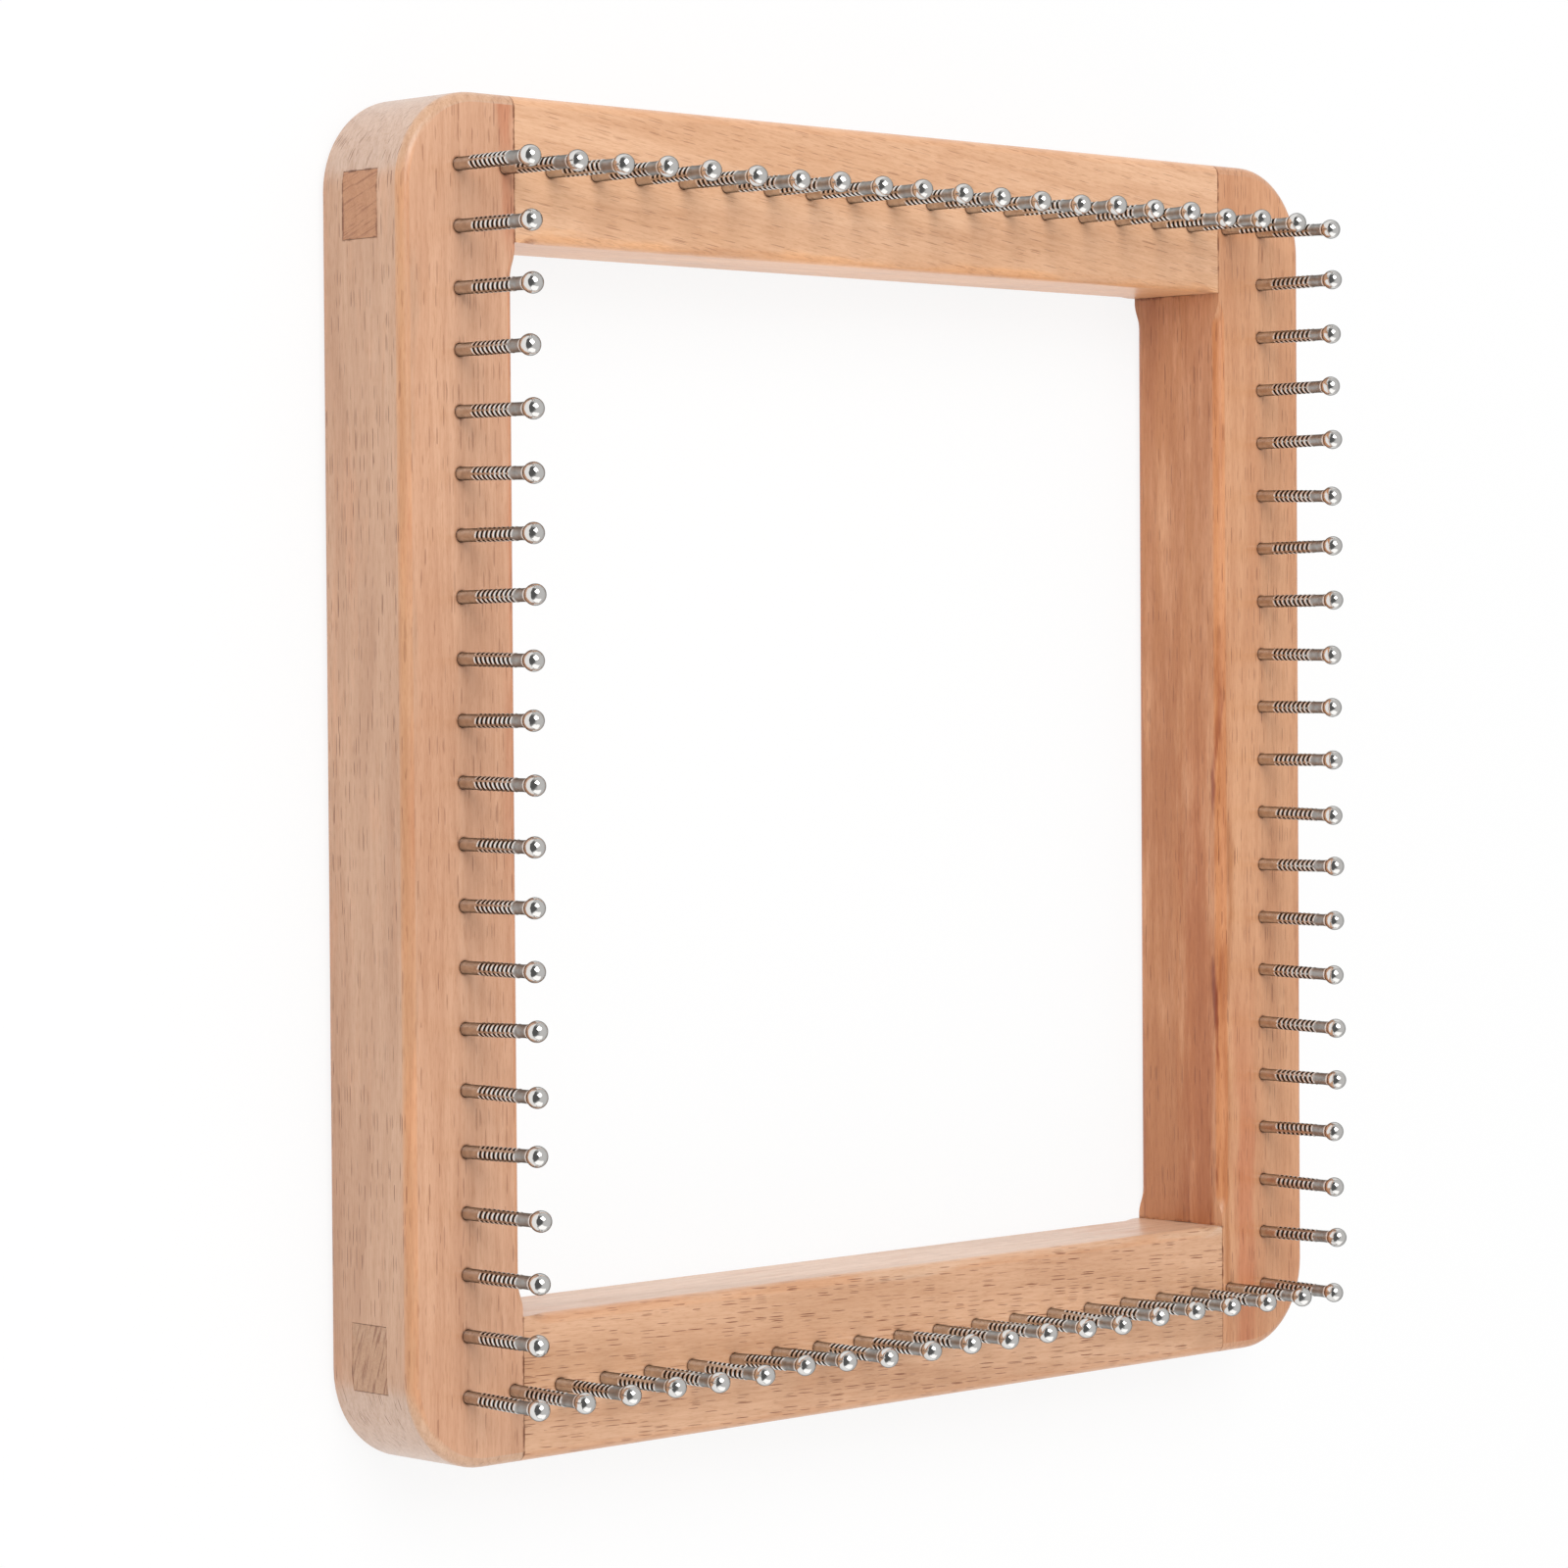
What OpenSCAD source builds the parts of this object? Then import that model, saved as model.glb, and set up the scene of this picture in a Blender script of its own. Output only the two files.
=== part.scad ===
// Square pin loom: a mortised beech frame with a ring of ball-headed pins.
// The frame lies on its back, the pins point up, and the origin is the centre of the back face.

/* [Pin square] */
// Pins along one side, both corner pins counted
pins_per_side = 21; // [11:2:23]
// Distance from one pin to the next
pin_pitch = 10; // [8:0.5:14]
// Distance from the pin line to the outer edge of the frame
pin_inset = 12; // [10:0.5:14]

/* [Pins] */
// Diameter of the pin's shank
pin_d = 2.2; // [1.6:0.1:3]
// Diameter of the ball head
ball_d = 3.6; // [3.2:0.1:5]
// Height of the ball's centre above the front face
pin_reach = 17.5; // [12:0.5:25]
// Depth that the pin is driven into the wood
pin_seat = 12; // [8:0.5:15]
// Length of the tapered point
point_l = 3; // [1:0.5:5]
// Length of the flare from the shank to the ball's centre
neck_l = 3; // [2.5:0.25:5]
// Diameter of the flare inside the ball
neck_d = 3; // [2:0.1:3.2]
// Radial room between a pin and its hole
pin_fit = 0.05; // [0.02:0.01:0.1]

/* [Frame] */
// Width of the stiles and rails
member_w = 24; // [21:0.5:30]
// Thickness of the stiles and rails
member_t = 21; // [18:0.5:28]
// Radius of the frame's outer corners
corner_r = 16; // [8:0.5:18]
// Radius of the rounded long edges
edge_r = 2; // [1:0.25:3]
// Radius of the guide bearing that stops the rounding short of the inner corners
bearing_r = 6; // [4:0.5:9]

/* [Joints] */
// Thickness of the through tenons
tenon_t = 8.5; // [5:0.5:11]
// Width of the through tenons, from the rail's inner edge
tenon_w = 11; // [8:0.5:14]
// Room between a rail's shoulder and the stile
shoulder_gap = 0.12; // [0.05:0.01:0.3]
// Room around a tenon in its mortise
tenon_gap = 0.08; // [0.05:0.01:0.2]

/* [Hidden] */
$fn = 48;

pin_half = (pins_per_side - 1) * pin_pitch / 2;
outer_half = pin_half + pin_inset;
inner_half = outer_half - member_w;
rail_half = inner_half - shoulder_gap;
corner_at = outer_half - corner_r;

// The rounding meets each face at a slight angle instead of running out to nothing
edge_angle = 8;
edge_c = edge_r * cos(edge_angle);
// How far a cutter reaches past the surface that it cuts
over = 1;

beech = [0.86, 0.68, 0.54];
beech_pale = [0.89, 0.73, 0.59];
nickel = [0.78, 0.77, 0.75];

function along(i) = i * pin_pitch - pin_half;
RING = concat(
    [for (i = [0 : pins_per_side - 1], s = [-1, 1]) [along(i), s * pin_half]],
    [for (i = [1 : pins_per_side - 2], s = [-1, 1]) [s * pin_half, along(i)]]
);

function numbered(stem, i) = str(stem, i < 10 ? "0" : "", i);
function warp_name(i) = numbered("warp_pins_", i);
function weft_name(i) = numbered("weft_pins_", i);

// Section of the wood that the rounding takes away: the wood's edge is at the origin,
// with the wood on the side of negative x and y
module edge_waste() {
    difference() {
        translate([-edge_c, -edge_c])
            square(edge_c + over);
        translate([-edge_c, -edge_c])
            circle(r = edge_r);
    }
}

// Waste along a straight edge centred on the y axis, with the wood towards negative x
module straight_waste(length) {
    rotate([90, 0, 0])
        linear_extrude(height = length, center = true)
            edge_waste();
}

// Waste around the edge of an outer corner, in the quarter of positive x and y
module outer_corner_waste() {
    rotate_extrude(angle = 90)
        translate([corner_r, 0])
            edge_waste();
}

// Waste around the path of the guide bearing in an inner corner, in the quarter of positive x and y
module inner_corner_waste() {
    rotate_extrude(angle = 90)
        translate([bearing_r, 0])
            mirror([1, 0])
                edge_waste();
}

// Its children at the front face, and mirrored at the back face
module both_faces() {
    translate([0, 0, member_t])
        children();
    mirror([0, 0, 1])
        children();
}

// Its children in the quarter of positive x, and mirrored across the x axis
module both_ends() {
    children();
    mirror([0, 1, 0])
        children();
}

// Its children in the quarter of positive y, and mirrored across the y axis
module left_and_right() {
    children();
    mirror([1, 0, 0])
        children();
}

// A hole for each pin whose place is in the given list
module pin_holes(spots) {
    for (p = spots)
        translate([p.x, p.y, member_t])
            rotate_extrude()
                polygon([
                    [0, -pin_seat - pin_fit],
                    [pin_d / 2 + pin_fit, point_l - pin_seat],
                    [pin_d / 2 + pin_fit, over],
                    [0, over]
                ]);
}

// One tenon, or one mortise if room is given, across the whole width of the right stile
module tenon(room = 0) {
    reach = member_w + shoulder_gap;
    translate([outer_half - reach - room, inner_half - room, (member_t - tenon_t) / 2 - room])
        cube([reach + 2 * room, tenon_w + 2 * room, tenon_t + 2 * room]);
}

// Wood outside the frame's rounded outer corner, in the quarter of positive x and y
module corner_waste() {
    translate([corner_at, corner_at, -over])
        linear_extrude(height = member_t + 2 * over)
            difference() {
                square(corner_r + over);
                circle(r = corner_r);
            }
}

// Wood that the rounding takes from the right stile at one face
module stile_waste() {
    end_w = member_w - corner_r + over;
    translate([outer_half, 0, 0])
        straight_waste(2 * corner_at);
    both_ends() {
        translate([corner_at, corner_at, 0])
            outer_corner_waste();
        translate([corner_at - end_w / 2, outer_half, 0])
            rotate([0, 0, 90])
                straight_waste(end_w);
        translate([inner_half - bearing_r, inner_half - bearing_r, 0])
            inner_corner_waste();
    }
    translate([inner_half, 0, 0])
        mirror([1, 0, 0])
            straight_waste(2 * (inner_half - bearing_r));
}

// The right stile: full height, with two through mortises and its share of the pin holes
module stile() {
    difference() {
        translate([inner_half, -outer_half, 0])
            cube([member_w, 2 * outer_half, member_t]);
        both_ends() {
            corner_waste();
            tenon(room = tenon_gap);
        }
        both_faces()
            stile_waste();
        pin_holes([for (p = RING) if (p.x > inner_half - pin_d) p]);
    }
}

// Wood that the rounding takes from the top rail at one face
module rail_waste() {
    translate([0, outer_half, 0])
        rotate([0, 0, 90])
            straight_waste(2 * (rail_half + over));
    translate([0, inner_half, 0])
        rotate([0, 0, -90])
            straight_waste(2 * (inner_half - bearing_r));
    left_and_right()
        translate([inner_half - bearing_r, inner_half - bearing_r, 0])
            inner_corner_waste();
}

// The top rail: it stops at the stiles, and a tenon at each end runs through to their outer faces
module rail() {
    difference() {
        union() {
            translate([-rail_half, inner_half, 0])
                cube([2 * rail_half, member_w, member_t]);
            left_and_right()
                tenon();
        }
        left_and_right()
            corner_waste();
        both_faces()
            rail_waste();
        pin_holes([for (p = RING) if (p.y > inner_half - pin_d) p]);
    }
}

// One pin in its hole, with its point down and its ball head up
module pin(spot) {
    translate([spot.x, spot.y, member_t])
        rotate_extrude() {
            polygon([
                [0, -pin_seat],
                [pin_d / 2, point_l - pin_seat],
                [pin_d / 2, pin_reach - neck_l],
                [neck_d / 2, pin_reach],
                [0, pin_reach]
            ]);
            translate([0, pin_reach])
                intersection() {
                    circle(d = ball_d);
                    translate([0, -ball_d])
                        square(2 * ball_d);
                }
        }
}

module left_stile() {
    color(beech)
        mirror([1, 0, 0])
            stile();
}

module right_stile() {
    color(beech)
        stile();
}

module top_rail() {
    color(beech_pale)
        rail();
}

module bottom_rail() {
    color(beech_pale)
        mirror([0, 1, 0])
            rail();
}

// The two pins at the ends of one warp line, in the bottom and top rows
module warp_pins(i) {
    color(nickel)
        for (s = [-1, 1])
            pin([along(i - 1), s * pin_half]);
}

// The two pins at the ends of one weft line, in the left and right columns
module weft_pins(i) {
    color(nickel)
        for (s = [-1, 1])
            pin([s * pin_half, along(i)]);
}

left_stile();
right_stile();
top_rail();
bottom_rail();
for (i = [1 : pins_per_side])
    warp_pins(i);
for (i = [1 : pins_per_side - 2])
    weft_pins(i);
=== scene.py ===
"""Square pin loom in beech: two stiles, two rails and a ring of ball-headed nickel pins."""

import bpy
import numpy as np
from mathutils import Matrix, Vector


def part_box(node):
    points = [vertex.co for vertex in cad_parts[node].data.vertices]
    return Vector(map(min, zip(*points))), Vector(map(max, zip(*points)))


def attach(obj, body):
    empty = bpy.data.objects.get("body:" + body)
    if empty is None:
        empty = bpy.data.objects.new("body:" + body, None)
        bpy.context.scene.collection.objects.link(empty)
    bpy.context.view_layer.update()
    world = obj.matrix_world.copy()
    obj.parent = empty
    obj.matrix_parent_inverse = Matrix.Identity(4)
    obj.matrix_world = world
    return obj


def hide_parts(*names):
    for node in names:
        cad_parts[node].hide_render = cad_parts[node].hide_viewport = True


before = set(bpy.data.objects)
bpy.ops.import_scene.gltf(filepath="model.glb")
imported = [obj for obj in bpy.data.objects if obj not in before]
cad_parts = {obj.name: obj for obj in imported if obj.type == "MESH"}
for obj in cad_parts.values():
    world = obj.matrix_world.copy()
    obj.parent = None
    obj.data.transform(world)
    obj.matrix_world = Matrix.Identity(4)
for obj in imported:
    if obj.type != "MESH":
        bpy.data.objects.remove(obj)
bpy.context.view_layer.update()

# Stiles
# The two upright bars of planed and sanded beech carry the frame's rounded corners. Each has two
# through mortises, and the rails' tenons are glued into them and sanded flush with the outside.


def add_node(tree, kind, inputs=None, **settings):
    """Adds one shader node; each input is a number, a colour or the socket that feeds it."""
    made = tree.nodes.new("ShaderNode" + kind)
    for name, value in settings.items():
        setattr(made, name, value)
    for key, value in (inputs or {}).items():
        if isinstance(value, bpy.types.NodeSocket):
            tree.links.new(value, made.inputs[key])
        else:
            made.inputs[key].default_value = value
    return made


def calc(tree, operation, *values):
    """The result of one math node."""
    return add_node(tree, "Math", dict(enumerate(values)), operation=operation).outputs[0]


def ramp(tree, value, start, end):
    """A smooth step: 0 where the value is at start, 1 where it is at end."""
    span = {"Value": value, "From Min": start, "From Max": end}
    return add_node(tree, "MapRange", span, interpolation_type="SMOOTHSTEP").outputs["Result"]


def mix(tree, factor, first, second, blend="MIX"):
    """A colour between two colours, or their blend."""
    made = add_node(tree, "Mix", data_type="RGBA", blend_type=blend)
    for place, value in {0: factor, 6: first, 7: second}.items():
        if isinstance(value, bpy.types.NodeSocket):
            tree.links.new(value, made.inputs[place])
        else:
            made.inputs[place].default_value = value
    return made.outputs[2]


def tinted(tree, factor, colour, tint):
    """The colour multiplied by a tint, as far as the factor says."""
    return mix(tree, factor, colour, (*tint, 1.0), "MULTIPLY")


def screen(red, green, blue):
    """A colour as it shows on a screen, 0 to 255, in the linear values that shaders take."""
    shown = np.array([red, green, blue]) / 255
    value = np.where(shown <= 0.04045, shown / 12.92, ((shown + 0.055) / 1.055) ** 2.4)
    return (*value.tolist(), 1.0)


def stretched(tree, vector, lengths):
    """The vector divided by three lengths: along the grain, across it, and through the rings."""
    along, across, through = lengths
    sizes = {"Vector": vector, "Scale": (1 / along, 1 / across, 1 / through)}
    return add_node(tree, "Mapping", sizes).outputs["Vector"]


def noise(tree, vector, detail, roughness=0.5):
    """Fractal noise from 0 to 1 with waves about as long as the vector's unit."""
    given = {"Vector": vector, "Scale": 1, "Detail": detail, "Roughness": roughness}
    return add_node(tree, "TexNoise", given).outputs["Fac"]


def new_group(name, inputs, outputs):
    """An empty shader node group with these sockets, and its input sockets by name."""
    group = bpy.data.node_groups.new(name, "ShaderNodeTree")
    for socket, kind in inputs:
        group.interface.new_socket(socket, in_out="INPUT", socket_type=kind)
    for socket in outputs:
        group.interface.new_socket(socket, in_out="OUTPUT", socket_type="NodeSocketFloat")
    return group, group.nodes.new("NodeGroupInput").outputs


def close_group(group, results):
    """Links the results to the group's outputs."""
    out = group.nodes.new("NodeGroupOutput")
    for name, socket in results.items():
        group.links.new(socket, out.inputs[name])


YEAR_PITCH = 2.7
YEAR_SWING = 10.0
YEAR_WANDER = (90, 26, 26)
FIBRE_SIZE = (9, 0.5, 0.5)
PORE_SIZE = (1.8, 0.2, 0.2)
TONE_SIZE = (60, 7, 7)
RAY_CELL = (3.8, 0.18, 1.5)
RAY_CROWD = (22, 6, 6)


def beech_figure():
    """Figure of beech in millimetres, with the grain along x and the years stacked along z.

    Ring is the late wood that ends each year, on wandering layers; Fibre the streaks along the grain;
    Pore the fine broken lines of the vessels; Fleck the dark rays, thin lenses scattered at most one to
    a cell; Tone the slow change over the board.
    """
    group, given = new_group(
        "beech_figure",
        [("Vector", "NodeSocketVector"), ("Fleck Share", "NodeSocketFloat")],
        ["Ring", "Fibre", "Pore", "Fleck", "Tone"],
    )
    place = given["Vector"]
    wander = noise(group, stretched(group, place, YEAR_WANDER), 2)
    layer = add_node(group, "SeparateXYZ", {"Vector": place}).outputs["Z"]
    layer = calc(group, "MULTIPLY_ADD", wander, YEAR_SWING, layer)
    year = calc(group, "FRACT", calc(group, "DIVIDE", layer, YEAR_PITCH))
    ring = calc(group, "MULTIPLY", calc(group, "POWER", year, 2.0), ramp(group, year, 1.0, 0.85))
    fibre = noise(group, stretched(group, place, FIBRE_SIZE), 4, 0.75)
    pore = noise(group, stretched(group, place, PORE_SIZE), 1)
    tone = noise(group, stretched(group, place, TONE_SIZE), 3)

    cells = {"Vector": stretched(group, place, RAY_CELL), "Scale": 1}
    rays = add_node(group, "TexVoronoi", cells)
    chance = add_node(group, "SeparateColor", {"Color": rays.outputs["Color"]}).outputs
    shown = calc(group, "LESS_THAN", chance["Red"], given["Fleck Share"])
    strength = calc(group, "MULTIPLY_ADD", chance["Green"], 0.5, 0.5)
    reach = calc(group, "MULTIPLY_ADD", chance["Blue"], 0.3, 0.35)
    lens = ramp(group, rays.outputs["Distance"], reach, calc(group, "MULTIPLY", reach, 0.75))
    crowded = ramp(group, noise(group, stretched(group, place, RAY_CROWD), 2), 0.2, 0.45)
    depth = calc(group, "MULTIPLY", strength, crowded)
    fleck = calc(group, "MULTIPLY", calc(group, "MULTIPLY", lens, shown), depth)
    close_group(group, {"Ring": ring, "Fibre": fibre, "Pore": pore, "Fleck": fleck, "Tone": tone})
    return group


def middle_of(node):
    """The middle of a node's box, in metres."""
    low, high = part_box(node)
    return (low + high) / 2


PIN_HALF = middle_of("warp_pins_21").x * 1000
PIN_PITCH = (middle_of("warp_pins_02").x - middle_of("warp_pins_01").x) * 1000
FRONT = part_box("left_stile")[1].z * 1000
INNER_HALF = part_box("right_stile")[0].x * 1000
OUTER_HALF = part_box("right_stile")[1].x * 1000
TENON_W = 11.0
TENON_T = 8.5
MOUTH_R = 1.18
MOUTH_SHADE_R = 1.55
SHOULDER_LINE = (0.4, 0.12)
CORNER_LINE = (0.7, 0.2)
TENON_LINE = (0.4, 0.1)
GLUE_BEAD = (3, 3, 3)


def distance(tree, first, second):
    """The length of the diagonal of two lengths."""
    squares = calc(tree, "ADD", calc(tree, "POWER", first, 2.0), calc(tree, "POWER", second, 2.0))
    return calc(tree, "SQRT", squares)


def pin_mouths():
    """How near a place, in millimetres, is to the mouth of a pin hole in the front: 1 at the rim.

    On each pin line the nearest pin is the nearest whole pitch, so its distance needs no list of pins.
    """
    group, given = new_group("pin_mouths", [("Vector", "NodeSocketVector")], ["Rim"])
    x, y, z = add_node(group, "SeparateXYZ", {"Vector": given["Vector"]}).outputs

    def from_pin(along, across):
        """The distance from the nearest pin of the two lines that run along one direction."""
        held = calc(group, "MINIMUM", calc(group, "MAXIMUM", along, -PIN_HALF), PIN_HALF)
        nearest = calc(group, "SNAP", calc(group, "ADD", held, PIN_PITCH / 2), PIN_PITCH)
        off_line = calc(group, "SUBTRACT", calc(group, "ABSOLUTE", across), PIN_HALF)
        return distance(group, calc(group, "SUBTRACT", along, nearest), off_line)

    nearest = calc(group, "MINIMUM", from_pin(x, y), from_pin(y, x))
    at_front = ramp(group, z, FRONT - 0.6, FRONT - 0.1)
    # The ring of painted shade round each mouth, strongest at the rim.
    mouth_shade = ramp(group, nearest, MOUTH_SHADE_R, MOUTH_R)
    close_group(group, {"Rim": calc(group, "MULTIPLY", mouth_shade, at_front)})
    return group


def glue_lines():
    """The broken dark line of glue where a rail meets a stile: 1 on the line.

    A shoulder lies at the stile's inner face, beyond the opening; the inner faces meet in the opening's
    corners; a tenon's outline shows on the stile's outer face, fainter round the closer fit at the bottom.
    """
    group, given = new_group("glue_lines", [("Vector", "NodeSocketVector")], ["Line"])
    x, y, z = add_node(group, "SeparateXYZ", {"Vector": given["Vector"]}).outputs
    off_side = calc(group, "SUBTRACT", calc(group, "ABSOLUTE", x), INNER_HALF)
    off_rail = calc(group, "SUBTRACT", calc(group, "ABSOLUTE", y), INNER_HALF)
    shoulder = calc(group, "MULTIPLY", ramp(group, calc(group, "ABSOLUTE", off_side), *SHOULDER_LINE),
                    calc(group, "GREATER_THAN", off_rail, 0.0))
    corner = ramp(group, distance(group, off_side, off_rail), *CORNER_LINE)
    off_width = calc(group, "ABSOLUTE", calc(group, "SUBTRACT", off_rail, TENON_W / 2))
    off_thickness = calc(group, "ABSOLUTE", calc(group, "SUBTRACT", z, FRONT / 2))
    off_tenon = calc(group, "MAXIMUM", calc(group, "SUBTRACT", off_width, TENON_W / 2),
                     calc(group, "SUBTRACT", off_thickness, TENON_T / 2))
    tenon = calc(group, "MULTIPLY", ramp(group, calc(group, "ABSOLUTE", off_tenon), *TENON_LINE),
                 calc(group, "GREATER_THAN", off_side, OUTER_HALF - INNER_HALF - 1))
    tenon = calc(group, "MULTIPLY", tenon, calc(group, "MULTIPLY_ADD", calc(group, "SIGN", y), 0.3, 0.7))
    squeezed = noise(group, stretched(group, given["Vector"], GLUE_BEAD), 3, 0.7)
    squeezed = ramp(group, squeezed, 0.44, 0.62)
    joint = calc(group, "MAXIMUM", calc(group, "MAXIMUM", shoulder, corner), tenon)
    line = calc(group, "MULTIPLY", joint, squeezed)
    close_group(group, {"Line": line})
    return group


BEECH_FIGURE = beech_figure()
PIN_MOUTHS = pin_mouths()
GLUE_LINES = glue_lines()
TO_MM = (1000, 1000, 1000)
DRIFT = 8
DRIFT_SIZE = (40, 40, 40)
SWAY = 2.4
SWAY_SIZE = (30, 4, 4)
SAW_LINES = (5, 6, 0.4)
LATE_WOOD = (0.80, 0.70, 0.63)
SAW_BURN = (0.55, 0.39, 0.31)
FIBRE_TINT = (0.90, 0.85, 0.80)
PORE_TINT = (0.90, 0.85, 0.80)
RAY_TINT = (0.34, 0.18, 0.10)
EDGE_SHADE_TINT = (1.0, 0.865, 0.71)
MOUTH_SHADE_TINT = (0.55, 0.45, 0.37)
GLUE_TINT = (0.40, 0.25, 0.16)


def beech(
    node, turn, slope, tilt, pale, dark, flecks, fleck_depth, end_colour, saw, saw_depth, edge_shade, streaks,
):
    """Beech for one bar.

    Turn lays its grain along x, slope lets the grain run off the edges and tilt leans the rings. Saw is
    the lean of the saw's lines on the ends, saw depth their strength, and edge shade the strength of the
    painted shade, a darker and more orange tone, on the rounded edges. Streaks wander along the bar:
    narrow ones are heartwood; those that cover a whole face paint sheen and shade on it, and on the right
    stile's inner face heartwood too. In millimetres from the bar's middle, a streak has a place across and
    through the bar, its half width and half depth there, and the stretch along the bar over which it comes
    in. Its tint comes last.
    """
    made = bpy.data.materials.new(node + "_beech")
    made.use_nodes = True
    tree = made.node_tree
    shader = tree.nodes["Principled BSDF"]
    spot = add_node(tree, "TexCoord").outputs
    metric = add_node(tree, "Mapping", {"Vector": spot["Object"], "Scale": TO_MM}).outputs[0]
    centre = middle_of(node) * 1000
    bar = add_node(tree, "VectorMath", {0: metric, 1: centre}, operation="SUBTRACT").outputs[0]
    bar = add_node(tree, "Mapping", {"Vector": bar, "Rotation": (0, 0, turn)}).outputs[0]
    grain = {"Vector": bar, "Rotation": (tilt, 0, slope), "Location": centre}
    grain = add_node(tree, "Mapping", grain).outputs[0]
    given = {"Vector": grain, "Fleck Share": flecks}
    figure = add_node(tree, "Group", given, node_tree=BEECH_FIGURE).outputs

    colour = mix(tree, ramp(tree, figure["Tone"], 0.32, 0.68), pale, dark)
    along = add_node(tree, "SeparateXYZ", {"Vector": bar}).outputs["X"]
    slow = stretched(tree, bar, DRIFT_SIZE)
    slow = add_node(tree, "TexNoise", {"Vector": slow, "Scale": 1, "Detail": 3}).outputs["Color"]
    drift = {0: slow, 1: (0, DRIFT, DRIFT), 2: (0, -DRIFT / 2, -DRIFT / 2)}
    drift = add_node(tree, "VectorMath", drift, operation="MULTIPLY_ADD").outputs[0]
    streak_place = add_node(tree, "VectorMath", {0: bar, 1: drift}, operation="ADD").outputs[0]
    for (across, through), (wide, deep), (start, end), tint in streaks:
        section = {"Scale": (0, 1 / wide, 1 / deep), "Location": (0, -across / wide, -through / deep)}
        section = add_node(tree, "Mapping", {"Vector": streak_place, **section}).outputs[0]
        off = add_node(tree, "VectorMath", {0: section}, operation="LENGTH")
        sway = noise(tree, stretched(tree, bar, SWAY_SIZE), 4, 0.65)
        off = calc(tree, "ADD", off.outputs["Value"], calc(tree, "MULTIPLY_ADD", sway, SWAY, -SWAY / 2))
        share = calc(tree, "MULTIPLY", ramp(tree, off, 1.0, 0.2), ramp(tree, along, start, end))
        colour = tinted(tree, share, colour, tint)

    normal = add_node(tree, "SeparateXYZ", {"Vector": spot["Normal"]}).outputs
    end_grain = ramp(tree, calc(tree, "ABSOLUTE", normal["Y" if turn else "X"]), 0.02, 0.3)
    colour = mix(tree, calc(tree, "MULTIPLY", end_grain, 0.85), colour, end_colour)
    colour = tinted(tree, calc(tree, "MULTIPLY", figure["Ring"], 0.4), colour, LATE_WOOD)
    sawn = add_node(tree, "Mapping", {"Vector": bar, "Rotation": (saw, 0, 0)}).outputs[0]
    sawn = ramp(tree, noise(tree, stretched(tree, sawn, SAW_LINES), 2, 0.6), 0.52, 0.64)
    sawn = calc(tree, "MULTIPLY", calc(tree, "MULTIPLY", sawn, end_grain), saw_depth)
    colour = tinted(tree, sawn, colour, SAW_BURN)
    colour = tinted(tree, ramp(tree, figure["Fibre"], 0.38, 0.68), colour, FIBRE_TINT)
    colour = tinted(tree, ramp(tree, figure["Pore"], 0.5, 0.75), colour, PORE_TINT)
    turned = add_node(tree, "Mapping", {"Vector": spot["Normal"], "Rotation": (0, 0, turn)}).outputs[0]
    leaned = add_node(tree, "Mapping", {"Vector": turned, "Rotation": (tilt, 0, slope)}).outputs[0]
    flat_sawn = calc(tree, "ABSOLUTE", add_node(tree, "SeparateXYZ", {"Vector": leaned}).outputs["Z"])
    fleck = calc(tree, "MULTIPLY", calc(tree, "MULTIPLY", figure["Fleck"], fleck_depth), flat_sawn)
    colour = tinted(tree, fleck, colour, RAY_TINT)

    # Painted shade on the rounded edges: where the normal lies between the front and a side, the colour is
    # tinted darker and more orange.
    upright = calc(tree, "ABSOLUTE", normal["Z"])
    edge = calc(tree, "MULTIPLY", upright, distance(tree, normal["X"], normal["Y"]))
    edge = calc(tree, "MULTIPLY", ramp(tree, edge, 0.06, 0.35), edge_shade)
    colour = tinted(tree, edge, colour, EDGE_SHADE_TINT)
    # Painted shade round each pin hole: a ring of darker wood at the mouth, where the pin meets the front.
    rim = add_node(tree, "Group", {"Vector": metric}, node_tree=PIN_MOUTHS).outputs["Rim"]
    colour = tinted(tree, calc(tree, "MULTIPLY", rim, 0.75), colour, MOUTH_SHADE_TINT)
    glue = add_node(tree, "Group", {"Vector": metric}, node_tree=GLUE_LINES).outputs["Line"]
    colour = tinted(tree, calc(tree, "MULTIPLY", glue, 0.8), colour, GLUE_TINT)

    tree.links.new(colour, shader.inputs["Base Color"])
    tree.links.new(calc(tree, "MULTIPLY_ADD", figure["Fibre"], 0.24, 0.30), shader.inputs["Roughness"])
    shader.inputs["Coat Weight"].default_value = 0.35
    shader.inputs["Coat Roughness"].default_value = 0.22
    height = calc(tree, "SUBTRACT", figure["Fibre"], calc(tree, "MULTIPLY", fleck, 1.5))
    bump = add_node(tree, "Bump", {"Height": height, "Strength": 0.3, "Distance": 0.0001})
    tree.links.new(bump.outputs["Normal"], shader.inputs["Normal"])
    return made


def dress(node, material):
    """Puts one material on a CAD node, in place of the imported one."""
    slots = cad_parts[node].data.materials
    slots.clear()
    slots.append(material)


UPRIGHT = np.pi / 2
RED_HEART = (0.87, 0.66, 0.57)
BROWN_HEART = (0.87, 0.70, 0.56)
DARK_HEART = (0.55, 0.33, 0.27)
# The orange tint is heartwood colour; over the right stile's whole inner face it is also painted shade,
# darkening that face. Its small streak near the front is heartwood only.
ORANGE_HEART_AND_SHADE = (0.77, 0.64, 0.49)
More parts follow.
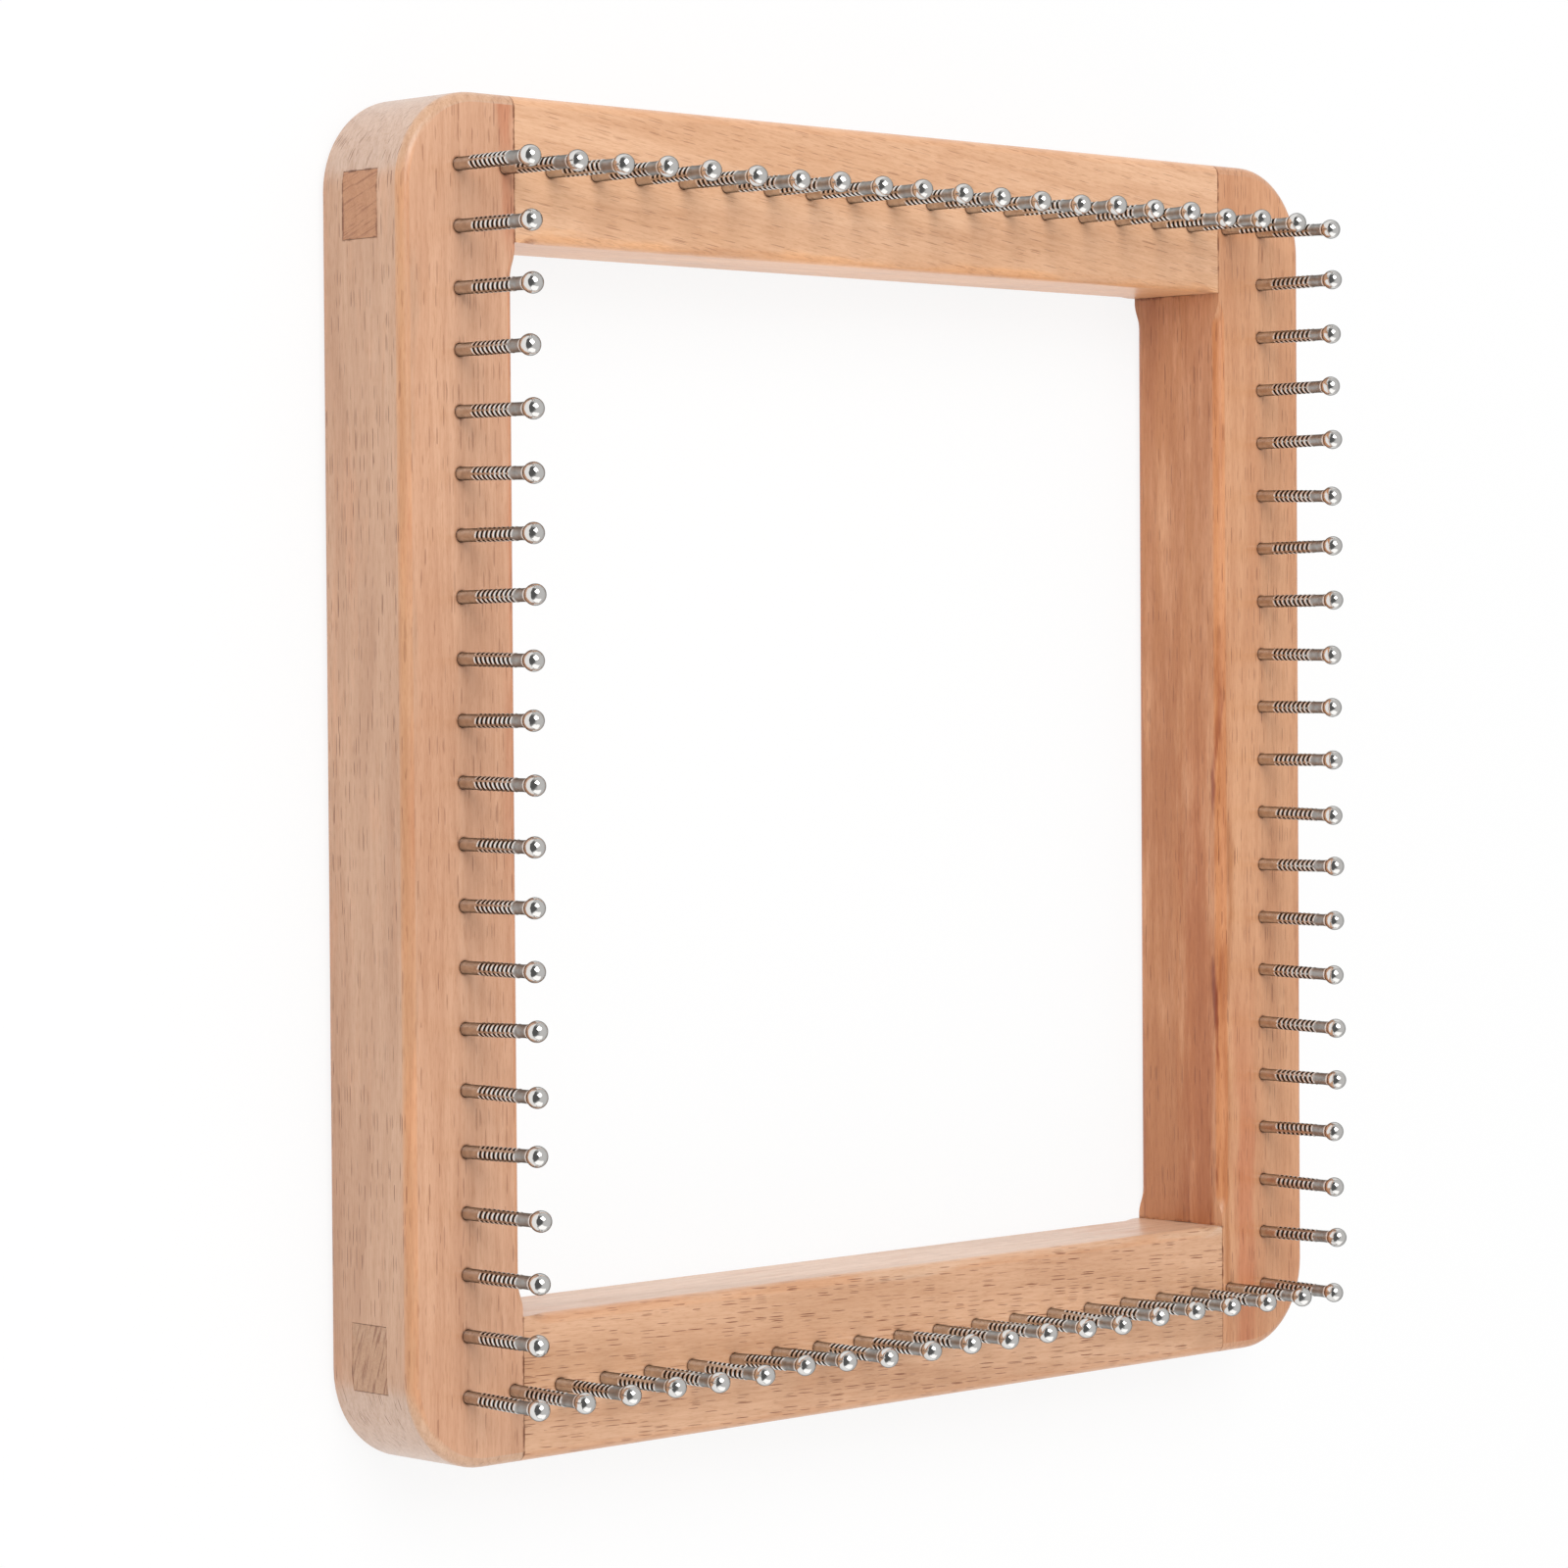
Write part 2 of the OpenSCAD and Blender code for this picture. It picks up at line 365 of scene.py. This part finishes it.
# Painted sheen and shade: this tint makes the left stile's outer side face greyer and a little darker.
SIDE_SHEEN_AND_SHADE = (0.88, 0.94, 0.98)
ALONG = (-200, -150)
dress("left_stile", beech(
    "left_stile", turn=UPRIGHT, slope=0.0, tilt=1.05,
    pale=screen(223, 174, 141), dark=screen(210, 159, 126), flecks=0.13, fleck_depth=1.0,
    end_colour=screen(213, 186, 168), saw=0.5, saw_depth=0.2, edge_shade=1.0,
    streaks=[
        ((-12.5, 0.0), (3.0, 30.0), ALONG, SIDE_SHEEN_AND_SHADE),
        ((11.5, 9.0), (3.2, 8.0), (70, -90), RED_HEART),
    ],
))
dress("right_stile", beech(
    "right_stile", turn=UPRIGHT, slope=0.0, tilt=-0.6,
    pale=screen(223, 167, 126), dark=screen(209, 149, 108), flecks=0.12, fleck_depth=0.8,
    end_colour=screen(214, 172, 144), saw=0.5, saw_depth=0.2, edge_shade=1.0,
    streaks=[
        ((-13.0, -3.0), (3.5, 16.0), ALONG, ORANGE_HEART_AND_SHADE),
        ((-12.5, 3.8), (3.5, 6.0), (-40, 20), BROWN_HEART),
        ((-11.8, 8.4), (0.8, 0.8), (-30, 10), DARK_HEART),
        ((-11.0, 10.0), (1.8, 1.8), (-40, 10), ORANGE_HEART_AND_SHADE),
        ((-6.0, 10.5), (4.0, 3.0), (30, 80), RED_HEART),
    ],
))

# Rails
# The two level bars of beech run between the stiles, with their tenons glued through them. Their
# flat-sawn fronts show the rays as short dark dashes, faint on the top rail and strong on the bottom.
# Painted sheen: these tints make the inner face of each rail lighter, the bottom one also greyer, as a
# grazing sheen shows on them.
TOP_RAIL_INSIDE_SHEEN = (1.14, 1.07, 0.93)
BOTTOM_RAIL_INSIDE_SHEEN = (1.06, 1.24, 1.45)
dress("top_rail", beech(
    "top_rail", turn=0, slope=0.13, tilt=0.3,
    pale=screen(237, 190, 153), dark=screen(225, 175, 136), flecks=0.14, fleck_depth=0.5,
    end_colour=screen(188, 131, 91), saw=-1.22, saw_depth=0.6, edge_shade=0.25,
    streaks=[((-12.5, 0.0), (2.0, 30.0), ALONG, TOP_RAIL_INSIDE_SHEEN)],
))
dress("bottom_rail", beech(
    "bottom_rail", turn=0, slope=0.04, tilt=0.2,
    pale=screen(224, 177, 142), dark=screen(210, 162, 126), flecks=0.18, fleck_depth=1.0,
    end_colour=screen(190, 149, 118), saw=-0.32, saw_depth=0.8, edge_shade=0.4,
    streaks=[((12.5, 0.0), (2.0, 30.0), ALONG, BOTTOM_RAIL_INSIDE_SHEEN)],
))

# Pins
# Eighty ball-headed pins of nickel-plated wire stand in drilled holes. The heading dies leave a neck
# under the ball and two herringbone bands of grip marks, and each pin is driven in at its own turn.
SHANK_R = 1.1
BALL_R = (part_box("weft_pins_01")[1].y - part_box("weft_pins_01")[0].y) * 500
BALL_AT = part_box("weft_pins_01")[1].z * 1000 - FRONT - BALL_R
TIP_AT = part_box("weft_pins_01")[0].z * 1000 - FRONT
POINT_L = 3.0
NECK_FROM = 14.7
NECK_MEETS = 0.73
MARKS_FROM = 3.9
MARK_STEP = 1.1
MARK_COUNT = 9
MARK_H = 0.11
MARK_SLANT = 0.25
MARK_TURN = (0.25, 0.45)
MARK_SHIFT = (-0.4, 0.6)
BAND_FROM = 0.1
BAND_RISE = 0.14
BAND_TO = 1.4
BAND_FALL = 0.15
LEAN = np.radians(0.75)
COLUMNS = 36


def pin_grid(turn, start):
    """One upright pin about the z axis, in millimetres: rings from its point to its crown, and its finish
    and painted light.

    Its radius grows along the point, holds along the shank, swells by half a cosine wave into the neck and
    follows a circle round the ball. Ridges that climb away from the two die lines stand out of the shank.
    That value is 2 on the ball, 1 on the ridges, 0 on the shank and -1 in the grooves between the ridges;
    it gives the ridges a painted highlight and the grooves painted shade.
    """
    neck_to = BALL_AT - BALL_R * np.cos(NECK_MEETS)
    point = np.linspace(TIP_AT, TIP_AT + POINT_L, 4)[1:]
    shank = np.linspace(TIP_AT + POINT_L, MARKS_FROM - 1, 6)[1:]
    marks = np.arange(MARKS_FROM - 0.8, NECK_FROM, MARK_STEP / 8)
    neck = np.linspace(NECK_FROM, neck_to, 9)
    round_the_ball = np.linspace(NECK_MEETS, np.pi, 18)[1:-1]
    straight = np.concatenate([point, shank, marks, neck])
    taper = np.clip((straight - TIP_AT) / POINT_L, 0, 1)
    swell = np.clip((straight - NECK_FROM) / (neck_to - NECK_FROM), 0, 1)
    flare = BALL_R * np.sin(NECK_MEETS) - SHANK_R
    radius = np.concatenate([
        SHANK_R * taper + flare * (1 - np.cos(np.pi * swell)) / 2, BALL_R * np.sin(round_the_ball),
    ])
    height = np.concatenate([straight, BALL_AT - BALL_R * np.cos(round_the_ball)])

    around = np.linspace(0, 2 * np.pi, COLUMNS, endpoint=False)
    from_die = np.abs((around - turn + np.pi / 2) % np.pi - np.pi / 2)
    band = np.clip((from_die - BAND_FROM) / BAND_RISE, 0, 1)
    band = band * np.clip((BAND_TO - from_die) / BAND_FALL, 0, 1)
    step = (height[:, None] - MARKS_FROM - start) / MARK_STEP - MARK_SLANT * from_die[None, :]
    within = (step > -0.25) & (step < MARK_COUNT - 0.75)
    wave = np.cos(2 * np.pi * step) * within * band[None, :]
    on_ball = np.clip((height - neck_to + 0.5) / 0.5, 0, 1)
    reach = radius[:, None] + MARK_H * np.clip(wave, 0, 1)
    rings = np.stack([
        reach * np.cos(around), reach * np.sin(around), np.broadcast_to(height[:, None], reach.shape),
    ], axis=-1)
    return rings, wave + 2 * on_ball[:, None]


def pin_faces(rows, columns):
    """Quads between neighbouring rings, each closed on itself, and fans at the point and the crown."""
    row, column = np.meshgrid(np.arange(rows - 1), np.arange(columns), indexing="ij")
    low = row * columns
    beside = (column + 1) % columns
    high = low + columns
    quads = np.stack([low + column, low + beside, high + beside, high + column], axis=-1)
    edge = np.arange(columns)
    after = (edge + 1) % columns
    last = (rows - 1) * columns
    tip = np.full(columns, rows * columns)
    fans = np.concatenate([
        np.stack([tip, after, edge], axis=-1), np.stack([tip + 1, last + edge, last + after], axis=-1),
    ])
    return quads.reshape(-1, 4), fans


def pin(spot, draw):
    """The points and the values for finish and painted light of one pin at its spot, with its own turn,
    start of marks and lean.

    The lean shears the pin about its hole's mouth by about a degree.
    """
    rings, polish_and_shading = pin_grid(draw.normal(*MARK_TURN), draw.uniform(*MARK_SHIFT))
    lean = draw.normal(0, LEAN, 2)
    poles = [[0, 0, TIP_AT], [0, 0, BALL_AT + BALL_R]]
    points = np.concatenate([rings.reshape(-1, 3), poles])
    points[:, :2] += points[:, 2:] * lean
    return points + [*spot, FRONT], np.append(polish_and_shading.ravel(), [0, 2])


def pin_pair(name, spots, draw):
    """The two pins that hold one line of yarn, as one object."""
    points, polish_and_shading = zip(*(pin(spot, draw) for spot in spots))
    quads, fans = pin_faces((len(points[0]) - 2) // COLUMNS, COLUMNS)
    second = len(points[0])
    faces = [*quads.tolist(), *(quads + second).tolist(), *fans.tolist(), *(fans + second).tolist()]
    mesh = bpy.data.meshes.new(name)
    mesh.from_pydata(np.concatenate(points) / 1000, [], faces)
    mesh.attributes.new("polish_and_shading", "FLOAT", "POINT").data.foreach_set("value", np.concatenate(polish_and_shading))
    mesh.polygons.foreach_set("use_smooth", np.ones(len(mesh.polygons), bool))
    return bpy.data.objects.new(name, mesh)


PLATE = screen(207, 204, 199)
WORN_PLATE = screen(188, 183, 177)
NECK_FADE = (12.0, 13.5)
NECK_SHADE_TINT = (0.68, 0.70, 0.72)
RIDGE_HIGHLIGHT = screen(252, 251, 249)
BALL = screen(225, 223, 220)
GROOVE_SHADE = screen(50, 44, 39)
RIM_TINT = (0.12, 0.12, 0.12, 1)


def nickel():
    """Nickel plate: bright ball, satin shank, rough grooves; painted highlight on the ridges, painted
    shade in grooves and neck.
    """
    made = bpy.data.materials.new("pin_nickel")
    made.use_nodes = True
    tree = made.node_tree
    shader = tree.nodes["Principled BSDF"]
    place = add_node(tree, "TexCoord").outputs["Object"]
    metric = add_node(tree, "Mapping", {"Vector": place, "Scale": TO_MM}).outputs[0]
    patch = noise(tree, stretched(tree, metric, (1.1, 1.1, 1.1)), 3)
    dents = noise(tree, metric, 1)
    polish_and_shading = add_node(tree, "Attribute", attribute_name="polish_and_shading").outputs["Fac"]
    bright = ramp(tree, polish_and_shading, 0.15, 0.7)
    in_groove = ramp(tree, polish_and_shading, 0.0, -0.35)
    ball = ramp(tree, polish_and_shading, 1.1, 1.7)
    colour = mix(tree, ramp(tree, patch, 0.35, 0.7), PLATE, WORN_PLATE)
    up = calc(tree, "SUBTRACT", add_node(tree, "SeparateXYZ", {"Vector": metric}).outputs["Z"], FRONT)
    neck = ramp(tree, up, *NECK_FADE)
    # Painted shade: the neck under the ball is tinted darker.
    colour = tinted(tree, neck, colour, NECK_SHADE_TINT)
    # Painted highlight: the ridges of the grip marks get a paler colour than the plate.
    colour = mix(tree, bright, colour, RIDGE_HIGHLIGHT)
    colour = mix(tree, ball, colour, BALL)
    # Painted shade: the grooves between the ridges are darkened.
    colour = mix(tree, in_groove, colour, GROOVE_SHADE)
    tree.links.new(colour, shader.inputs["Base Color"])
    shader.inputs["Metallic"].default_value = 1.0
    shader.inputs["Specular Tint"].default_value = RIM_TINT
    rough = calc(tree, "MULTIPLY_ADD", patch, 0.14, 0.13)
    rough = calc(tree, "MULTIPLY_ADD", bright, 0.2, rough)
    rough = calc(tree, "MULTIPLY_ADD", neck, 0.25, rough)
    rough = calc(tree, "MULTIPLY_ADD", ball, -0.55, rough)
    tree.links.new(calc(tree, "MULTIPLY_ADD", in_groove, 0.2, rough), shader.inputs["Roughness"])
    bump = add_node(tree, "Bump", {"Height": dents, "Strength": 0.4, "Distance": 0.0002})
    tree.links.new(bump.outputs["Normal"], shader.inputs["Normal"])
    return made


NICKEL = nickel()
draw = np.random.default_rng(80)
for node in sorted(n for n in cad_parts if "_pins_" in n):
    low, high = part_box(node)
    first = np.array([low.x, low.y]) * 1000 + BALL_R
    last = np.array([high.x, high.y]) * 1000 - BALL_R
    pair = pin_pair(node + "_nickel", (first, last), draw)
    pair.data.materials.append(NICKEL)
    bpy.context.scene.collection.objects.link(pair)
    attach(pair, "root")
    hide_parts(node)

# Table, light and camera
# The loom lies on a plain white table under a large soft light, and the camera looks at it from its
# left. That side of the room is dark in mirrors, which gives the ball heads their dark patches.
TABLE_SIDE = 30
TABLE_TOP = -0.0002
TABLE_GLOW = 0.86
bpy.ops.mesh.primitive_plane_add(size=TABLE_SIDE, location=(0, 0, TABLE_TOP))
table = bpy.context.object
table.name = "table"
white = bpy.data.materials.new("table_white")
white.use_nodes = True
tree = white.node_tree
shader = tree.nodes["Principled BSDF"]
shader.inputs["Base Color"].default_value = (0.9, 0.9, 0.9, 1)
shader.inputs["Roughness"].default_value = 0.9
glow = add_node(tree, "Emission", {"Color": (1, 1, 1, 1), "Strength": 1.0})
rays = add_node(tree, "LightPath").outputs
mirrored = calc(tree, "MAXIMUM", rays["Is Glossy Ray"], rays["Is Transmission Ray"])
seen = calc(tree, "MAXIMUM", rays["Is Camera Ray"], mirrored)
both = add_node(tree, "MixShader", {
    0: calc(tree, "MULTIPLY", seen, TABLE_GLOW), 1: shader.outputs[0], 2: glow.outputs[0],
})
tree.links.new(both.outputs[0], tree.nodes["Material Output"].inputs["Surface"])
table.data.materials.append(white)

CAMERA_AT = Vector((-0.62603, 0.01966, 0.63243))
LOOKING = Vector((0.69947, -0.02513, -0.71422))
HEAD_UP = Vector((0.02231, 0.99966, -0.01331))
LENS_MM = 114.06
KEY_AT = Vector((-0.5, 0.86, 1.46))
KEY_SIDE = 1.15
KEY_WATTS = 17.5
FILL_AT = Vector((-0.1, -1.1, 0.6))
FILL_W = 1.6
FILL_H = 1.0
FILL_WATTS = 3.5
ROOM = (0.65, 0.65, 0.65, 1)
ROOM_IN_METAL = (0.64, 0.64, 0.64, 1)
DARK_SIDE = (0.11, 0.11, 0.11, 1)
DARK_WAY = Vector((-0.95, 0.2, 0.25))
DARK_EDGE = (0.3, 0.75)

scene = bpy.context.scene
scene.view_settings.view_transform = "Standard"
scene.world = bpy.data.worlds.new("white_room")
scene.world.use_nodes = True
tree = scene.world.node_tree
way = add_node(tree, "TexCoord").outputs["Generated"]
leftward = add_node(tree, "VectorMath", {0: way, 1: DARK_WAY.normalized()}, operation="DOT_PRODUCT")
leftward = ramp(tree, leftward.outputs["Value"], *DARK_EDGE)
mirrored = mix(tree, leftward, ROOM_IN_METAL, DARK_SIDE)
in_metal = add_node(tree, "LightPath").outputs["Is Glossy Ray"]
room = mix(tree, in_metal, ROOM, mirrored)
tree.links.new(room, tree.nodes["Background"].inputs["Color"])


def softbox(name, place, width, height, power):
    """A rectangular light at a place, facing the loom."""
    lamp = bpy.data.lights.new(name, "AREA")
    lamp.shape = "RECTANGLE"
    lamp.size = width
    lamp.size_y = height
    lamp.energy = power
    made = bpy.data.objects.new(name, lamp)
    aim = (-place).to_track_quat("-Z", "Y").to_matrix().to_4x4()
    made.matrix_world = Matrix.Translation(place) @ aim
    scene.collection.objects.link(made)


softbox("key", KEY_AT, KEY_SIDE, KEY_SIDE, KEY_WATTS)
softbox("low_fill", FILL_AT, FILL_W, FILL_H, FILL_WATTS)

camera = bpy.data.objects.new("camera", bpy.data.cameras.new("camera"))
camera.data.sensor_width = 36
camera.data.lens = LENS_MM
right = LOOKING.cross(HEAD_UP).normalized()
turned = Matrix((right, right.cross(LOOKING).normalized(), -LOOKING.normalized())).transposed()
camera.matrix_world = Matrix.Translation(CAMERA_AT) @ turned.to_4x4()
scene.collection.objects.link(camera)
scene.camera = camera
